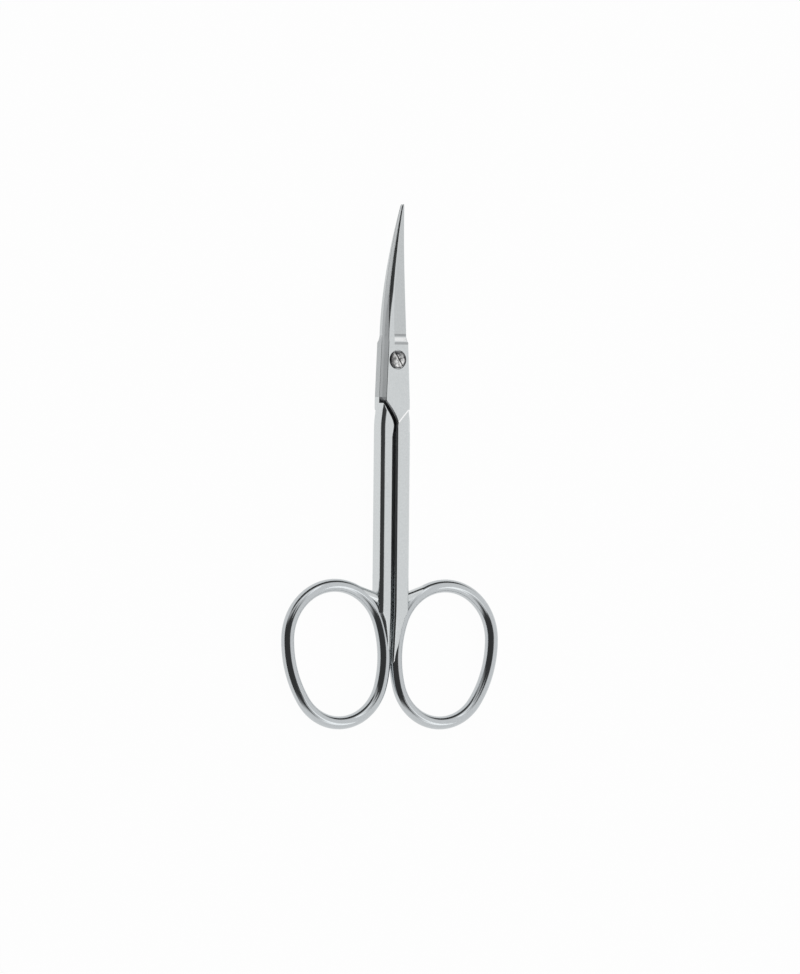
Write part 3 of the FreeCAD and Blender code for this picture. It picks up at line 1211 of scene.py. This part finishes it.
@dataclass
class PivotScrew:
    """The slotted screw of the joint, with a raised head, a plain shank and a peened end."""

    place: Matrix
    finish: bpy.types.Material
    block_thickness: float
    face_gap: float
    head: float = 3.05
    head_height: float = 0.55
    head_crown: float = 0.2
    rim_radius: float = 0.1
    rim_drop: float = 0.06
    rim_steps: int = 6
    crown_steps: int = 10
    rim_shade: float = 0.75
    seat: float = 3.3
    seat_depth: float = 0.25
    seat_clearance: float = 0.03
    slot_width: float = 0.5
    slot_depth: float = 0.28
    slot_angle: float = 122.0
    slot_lip: float = 0.05
    slot_flare: float = 0.08
    shank: float = 2.2
    clearance: float = 0.03
    thread: float = 1.8
    peen: float = 2.4
    peen_depth: float = 0.3
    peen_edge: float = 0.03
    peen_clearance: float = 0.01
    sides: int = 96
    crease: float = 32.0

    @property
    def crown(self) -> float:
        """Return the height of the head's middle over the parting plane."""
        return self.block_thickness - self.seat_depth + self.seat_clearance + self.head_height

    def profile(self) -> list[tuple[float, float]]:
        """Return the screw's half section.

        Returns:
            Pairs of radius and height, from its end to its crown.
        """
        seat = self.crown - self.head_height
        rim = self.crown - self.head_crown
        edge = self.head / 2
        lower = -self.face_gap / 2
        points = [
            (0, -self.block_thickness),
            (self.peen / 2 - self.peen_edge, -self.block_thickness),
            (self.peen / 2 - self.peen_clearance, -self.block_thickness + self.peen_edge),
            (self.thread / 2, -self.block_thickness + self.peen_depth),
            (self.thread / 2, lower),
            (self.shank / 2, lower),
            (self.shank / 2, seat),
            (edge, seat),
        ]
        slope = math.atan2(2 * self.head_crown, edge)
        middle = Vector((edge - self.rim_radius, rim - self.rim_drop))
        for step in range(self.rim_steps + 1):
            turn = mix(0, math.pi / 2 - slope, step / self.rim_steps)
            points.append((
                middle.x + self.rim_radius * math.cos(turn),
                middle.y + self.rim_radius * math.sin(turn),
            ))
        start = Vector(points[-1])
        for step in range(1, self.crown_steps):
            share = step / self.crown_steps
            points.append((start.x * (1 - share), mix(start.y, self.crown, 1 - (1 - share) ** 2)))
        return points + [(0, self.crown)]

    def slot(self) -> bpy.types.Mesh:
        """Return the space of the driver slot, flared a little at its lips.

        Returns:
            The mesh in the local frame.
        """
        half = self.slot_width / 2
        wide = half + self.slot_flare
        right = [
            (half, self.crown - self.slot_depth),
            (half, self.crown - self.slot_lip),
            (wide, self.crown + self.slot_lip / 2),
            (wide, self.crown + TOOL_REACH),
        ]
        left = [(-y, z) for y, z in reversed(right)]
        section = left[-1:] + right + left[:-1]
        shape = bmesh.new()
        near = [shape.verts.new((-self.head * MM, y * MM, z * MM)) for y, z in section]
        far = [shape.verts.new((self.head * MM, y * MM, z * MM)) for y, z in section]
        shape.faces.new(near)
        shape.faces.new(far)
        for index in range(len(near)):
            other = (index + 1) % len(near)
            shape.faces.new((near[index], near[other], far[other], far[index]))
        turn = Matrix.Rotation(math.radians(self.slot_angle), 3, "Z")
        bmesh.ops.rotate(shape, cent=(0, 0, 0), matrix=turn, verts=shape.verts)
        return mesh_from("slot", shape)

    def build(self) -> bpy.types.Object:
        """Return the finished screw, riding on the lower half in place of the CAD node.

        Returns:
            The new piece.
        """
        body = turned_mesh("screw", self.profile(), self.sides)
        mesh = combined(body, self.slot(), "DIFFERENCE")
        # The rim of the head gets a painted shade, and is satin too
        satin_and_painted_shade = mesh.attributes.new("satin_and_painted_shade", "FLOAT", "FACE")
        for face in mesh.polygons:
            away = face.center.xy.length / (self.head / 2 * MM)
            satin_and_painted_shade.data[face.index].value = faded(away, start=0.7, full=0.9) * self.rim_shade
        piece = dressed("pivot_screw_turned", mesh, self.place, self.crease, self.finish)
        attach(piece, Side.LOWER.body)
        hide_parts("pivot_screw")
        return piece


@dataclass(frozen=True)
class DarkZone:
    """A soft dark stretch of the light tent, on an arc from overhead down to one side, in degrees."""

    azimuth: float
    start: float
    end: float
    half_width: float
    soft_ends: float
    soft_sides: float
    depth: float

    def part(self, tree: Tree, way: Socket, axis: Vector) -> Socket:
        """Return the part of a direction that lies along an axis."""
        node = add_node(tree, "ShaderNodeVectorMath", {0: way, 1: axis}, operation="DOT_PRODUCT")
        return node.outputs["Value"]

    def window(self, tree: Tree, angle: Socket, middle: float, half: float, soft: float) -> Socket:
        """Return 1 where an angle lies near a middle one, fading softly to 0.

        Args:
            tree: The world's node tree.
            angle: The angle in radians.
            middle: Middle of the window in degrees.
            half: Half the window's width in degrees.
            soft: Half the width of the fade in degrees.

        Returns:
            The share from 0 to 1.
        """
        away = calculated(tree, "ABSOLUTE", calculated(tree, "SUBTRACT", angle, math.radians(middle)))
        fade = add_node(tree, "ShaderNodeMapRange", {
            "Value": away,
            "From Min": math.radians(half - soft), "From Max": math.radians(half + soft),
            "To Min": 1.0, "To Max": 0.0,
        }, interpolation_type="SMOOTHSTEP")
        return fade.outputs["Result"]

    def light(self, tree: Tree, way: Socket) -> Socket:
        """Return the share of the tent's light that the zone leaves in a direction.

        Args:
            tree: The world's node tree.
            way: The direction as a vector socket.

        Returns:
            A socket that is 1 outside the zone.
        """
        turn = math.radians(self.azimuth)
        out = self.part(tree, way, Vector((math.cos(turn), math.sin(turn), 0)))
        across = self.part(tree, way, Vector((-math.sin(turn), math.cos(turn), 0)))
        height = self.part(tree, way, Vector((0, 0, 1)))
        along = calculated(tree, "ARCTAN2", out, height)
        middle = (self.start + self.end) / 2
        ends = self.window(tree, along, middle, self.end - middle, self.soft_ends)
        sideways = calculated(tree, "ARCSINE", across)
        sides = self.window(tree, sideways, 0.0, self.half_width, self.soft_sides)
        zone = calculated(tree, "MULTIPLY", ends, sides)
        taken = calculated(tree, "MULTIPLY", zone, self.depth)
        return calculated(tree, "SUBTRACT", 1.0, taken)


@dataclass
class Studio:
    """A white table under a light tent, with dark stretches where the photographer and room show."""

    parting: float
    floor_size: float = 4.0
    floor_drop: float = 0.00005
    floor_white: float = 0.93
    floor_glow: float = 0.97
    tent_level: float = 0.95
    dark_zones: tuple[DarkZone, ...] = (
        DarkZone(
            azimuth=190.0, start=-16.0, end=100.0, half_width=40.0,
            soft_ends=7.0, soft_sides=12.0, depth=0.94,
        ),
        DarkZone(
            azimuth=90.0, start=58.0, end=112.0, half_width=50.0,
            soft_ends=9.0, soft_sides=14.0, depth=0.95,
        ),
    )
    lamp_size: float = 0.5
    lamp_power: float = 0.5
    lamp_distance: float = 0.9
    photo_width: int = 800
    photo_height: int = 974
    pixel: float = 0.1757
    pivot_column: float = 392.6
    pivot_row: float = 359.8
    photo_lean: float = 0.55
    view_tilt: float = 30.0
    lens: float = 600.0
    sensor: float = 36.0

    def floor(self) -> bpy.types.Object:
        """Return the table, which looks white and keeps a faint soft shadow.

        Returns:
            The table.
        """
        material = bpy.data.materials.new("white_table")
        material.use_nodes = True
        tree = material.node_tree
        tree.nodes.remove(tree.nodes["Principled BSDF"])
        paper = add_node(tree, "ShaderNodeBsdfDiffuse", {"Color": (self.floor_white,) * 3 + (1,)})
        glow = add_node(tree, "ShaderNodeEmission", {"Strength": 1.0})
        rays = tree.nodes.new("ShaderNodeLightPath").outputs
        seen = calculated(tree, "MAXIMUM", rays["Is Camera Ray"], rays["Is Glossy Ray"])
        shown = calculated(tree, "MAXIMUM", seen, rays["Is Transmission Ray"])
        blend = add_node(tree, "ShaderNodeMixShader", {
            0: calculated(tree, "MULTIPLY", shown, self.floor_glow),
            1: paper.outputs["BSDF"],
            2: glow.outputs["Emission"],
        })
        surface = tree.nodes["Material Output"].inputs["Surface"]
        tree.links.new(blend.outputs["Shader"], surface)
        shape = bmesh.new()
        bmesh.ops.create_grid(shape, x_segments=1, y_segments=1, size=self.floor_size / 2)
        bmesh.ops.translate(shape, vec=(0, 0, -self.floor_drop), verts=shape.verts)
        mesh = bpy.data.meshes.new("table")
        shape.to_mesh(mesh)
        shape.free()
        mesh.materials.append(material)
        floor = linked("table", mesh)
        return floor

    def tent(self) -> None:
        """Give the world the light tent: even white with its dark stretches."""
        world = bpy.data.worlds.new("light_tent")
        bpy.context.scene.world = world
        world.use_nodes = True
        tree = world.node_tree
        way = tree.nodes.new("ShaderNodeTexCoord").outputs["Generated"]
        level = self.tent_level
        for zone in self.dark_zones:
            level = calculated(tree, "MULTIPLY", zone.light(tree, way), level)
        rays = tree.nodes.new("ShaderNodeLightPath").outputs
        shown = add_node(tree, "ShaderNodeMix", {"Factor": rays["Is Camera Ray"], "A": level, "B": 1.0})
        sky = tree.nodes["Background"].inputs
        sky["Color"].default_value = (1, 1, 1, 1)
        tree.links.new(shown.outputs["Result"], sky["Strength"])

    def lamp(self, name: str, way: tuple[float, float, float]) -> None:
        """Add one soft box over the table.

        Args:
            name: Name of the lamp.
            way: Direction from the object to the lamp.
        """
        light = bpy.data.lights.new(name, "AREA")
        light.size = self.lamp_size
        light.energy = self.lamp_power
        item = linked(name, light)
        toward = Vector(way).normalized()
        item.location = toward * self.lamp_distance
        item.rotation_euler = toward.to_track_quat("Z", "Y").to_euler()
        item.visible_camera = False

    def camera(self) -> None:
        """Place the camera as in the photo: above the left side, with the tips up in the picture."""
        tilt = math.radians(self.view_tilt)
        back = Vector((-math.sin(tilt), 0, math.cos(tilt)))
        level = Vector((math.cos(tilt), 0, math.sin(tilt)))
        lean = math.radians(self.photo_lean)
        right = level * math.cos(lean) + Vector((0, math.sin(lean), 0))
        up = back.cross(right)
        step = self.pixel * MM
        aim = Vector((0, 0, self.parting))
        aim += right * (self.photo_width / 2 - self.pivot_column) * step
        aim -= up * (self.photo_height / 2 - self.pivot_row) * step
        data = bpy.data.cameras.new("photo_camera")
        data.lens = self.lens
        data.sensor_width = self.sensor
        distance = self.photo_height * step * self.lens / self.sensor
        item = linked("photo_camera", data)
        item.matrix_world = Matrix((
            (right.x, up.x, back.x, aim.x + back.x * distance),
            (right.y, up.y, back.y, aim.y + back.y * distance),
            (right.z, up.z, back.z, aim.z + back.z * distance),
            (0, 0, 0, 1),
        ))
        bpy.context.scene.camera = item

    def build(self) -> None:
        """Set up the table, the light tent, two soft boxes and the camera."""
        self.floor()
        self.tent()
        self.lamp("far_box", (0.0, 0.49, 0.87))
        self.lamp("near_box", (0.3, -0.47, 0.83))
        self.camera()
        bpy.context.scene.view_settings.view_transform = "Standard"


def main() -> None:
    """Build every piece on the frame, then the studio, and log each piece's face count."""
    logging.basicConfig(level=logging.INFO, format="%(name)s: %(message)s")
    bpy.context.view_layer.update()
    low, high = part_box(Side.UPPER.bow_node)
    parting = (low.z + high.z) / 2
    places = {
        Side.UPPER: Matrix.Translation((0, 0, parting)),
        Side.LOWER: Matrix.Translation((0, 0, parting)) @ Matrix.Rotation(math.pi, 4, "Y"),
    }
    blade_plate = BLADE_PLATE.build()
    wire_plate = WIRE_PLATE.build()
    screw_steel = SCREW_STEEL.build()
    plan = Bow()
    screw = PivotScrew(places[Side.UPPER], screw_steel, Forging.block_thickness, Forging.face_gap)
    pieces = []
    for side in Side:
        pieces.append(Forging(side, places[side], blade_plate, plan).build(screw))
        pieces.append(FingerBow(side, places[side], wire_plate, plan).build())
    pieces.append(screw.build())
    Studio(parting).build()
    for piece in pieces:
        log.info("%s: %d faces", piece.name, len(piece.data.polygons))


if __name__ == "__main__":
    main()
